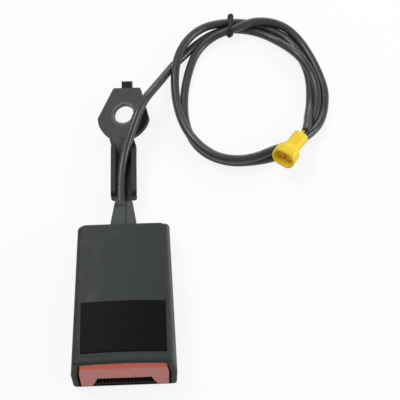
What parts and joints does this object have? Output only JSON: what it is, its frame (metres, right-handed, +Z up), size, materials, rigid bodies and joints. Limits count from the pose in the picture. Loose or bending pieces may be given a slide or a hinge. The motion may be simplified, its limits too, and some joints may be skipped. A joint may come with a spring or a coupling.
{
  "type": "seat belt buckle",
  "caption": "Seat belt buckle with an end-release button, a latch that locks on the tongue, a stamped anchor strap and a switch lead.",
  "frame": {"origin": "under the middle of the buckle and its strap, on the surface the rear cover lies on, measured without the free lead", "axes": "+Z up out of the front cover; -Y towards the push button, where the tongue enters; +Y along the strap to its anchor hole; +X to the side the lead is coiled on"},
  "size_m": [0.1534, 0.242, 0.0264],
  "materials": {
    "cover_plastic": "fine moulded grain, satin, dark grey",
    "label_black": "bare black film panel",
    "guide_plastic": "moulded black, ribbed",
    "frame_steel": "stamped, zinc plated",
    "rivet_steel": "upset rivet head",
    "pin_steel": "ground pin",
    "latch_steel": "hardened stamping, plated",
    "spring_steel": "drawn spring wire",
    "ejector_plastic": "natural acetal",
    "button_red": "orange-red, polished moulding",
    "strap_steel": "dark satin electrocoat over a stamping",
    "boot_plastic": "soft moulded sleeve",
    "switch_plastic": "black moulded case",
    "plunger_plastic": "natural acetal",
    "terminal_brass": "stamped, tinned brass",
    "wire_black": "insulated wire",
    "cable_sheath": "smooth glossy dark grey sheath",
    "tie_plastic": "flat black plastic-covered tie",
    "connector_yellow": "yellow moulding",
    "retainer_orange": "orange moulding",
    "wire_yellow": "yellow insulated wire",
    "wire_blue": "blue insulated wire"
  },
  "bodies": {
    "housing": {"rear_cover": "cover_plastic", "front_cover": "cover_plastic", "face_label": "label_black", "slot_guide": "guide_plastic", "latch_frame": "frame_steel", "frame_rivet": "rivet_steel", "latch_pin": "pin_steel", "latch_spring": "spring_steel", "ejector_spring": "spring_steel", "button_springs": "spring_steel", "anchor_strap": "strap_steel", "stalk_boot": "boot_plastic", "switch_body": "switch_plastic", "switch_terminals": "terminal_brass", "inner_wires": "wire_black", "cable_lead": "cable_sheath", "cable_coil": "cable_sheath", "twist_tie": "tie_plastic", "connector_housing": "connector_yellow", "connector_retainer": "retainer_orange", "connector_terminals": "terminal_brass", "wire_yellow": "wire_yellow", "wire_blue": "wire_blue"},
    "push_button": {"push_button": "button_red"},
    "ejector": {"ejector": "ejector_plastic"},
    "latch": {"latch": "latch_steel"},
    "lock_bar": {"lock_bar": "pin_steel"},
    "switch_plunger": {"switch_plunger": "plunger_plastic"}
  },
  "joints": [
    {"name": "button_press", "type": "slide", "parent": "housing", "child": "push_button", "axis": [0, 1, 0], "range_m": [0, 0.005], "stiffness_N_per_m": 2000, "springref_m": -0.004, "deforming": ["button_springs"]},
    {"name": "ejector_slide", "type": "slide", "parent": "housing", "child": "ejector", "axis": [0, 1, 0], "range_m": [0, 0.012], "stiffness_N_per_m": 800, "springref_m": -0.006, "deforming": ["ejector_spring"]},
    {"name": "latch_pivot", "type": "hinge", "parent": "housing", "child": "latch", "pos_m": [0, -0.04, 0.0128], "axis": [1, 0, 0], "range_deg": [0, 9.5], "deforming": ["latch_spring"]},
    {"name": "lock_bar_slide", "type": "slide", "parent": "housing", "child": "lock_bar", "axis": [0, -1, 0], "range_m": [0, 0.0035]},
    {"name": "plunger_slide", "type": "slide", "parent": "housing", "child": "switch_plunger", "axis": [0, 1, 0], "range_m": [0, 0.002]}
  ],
  "couplings": [
    {"joint": "latch_pivot", "follows": "ejector_slide", "rad_per_m": 13.815},
    {"joint": "lock_bar_slide", "follows": "ejector_slide", "ratio": 0.2916},
    {"joint": "plunger_slide", "follows": "ejector_slide", "ratio": 0.1666}
  ]
}
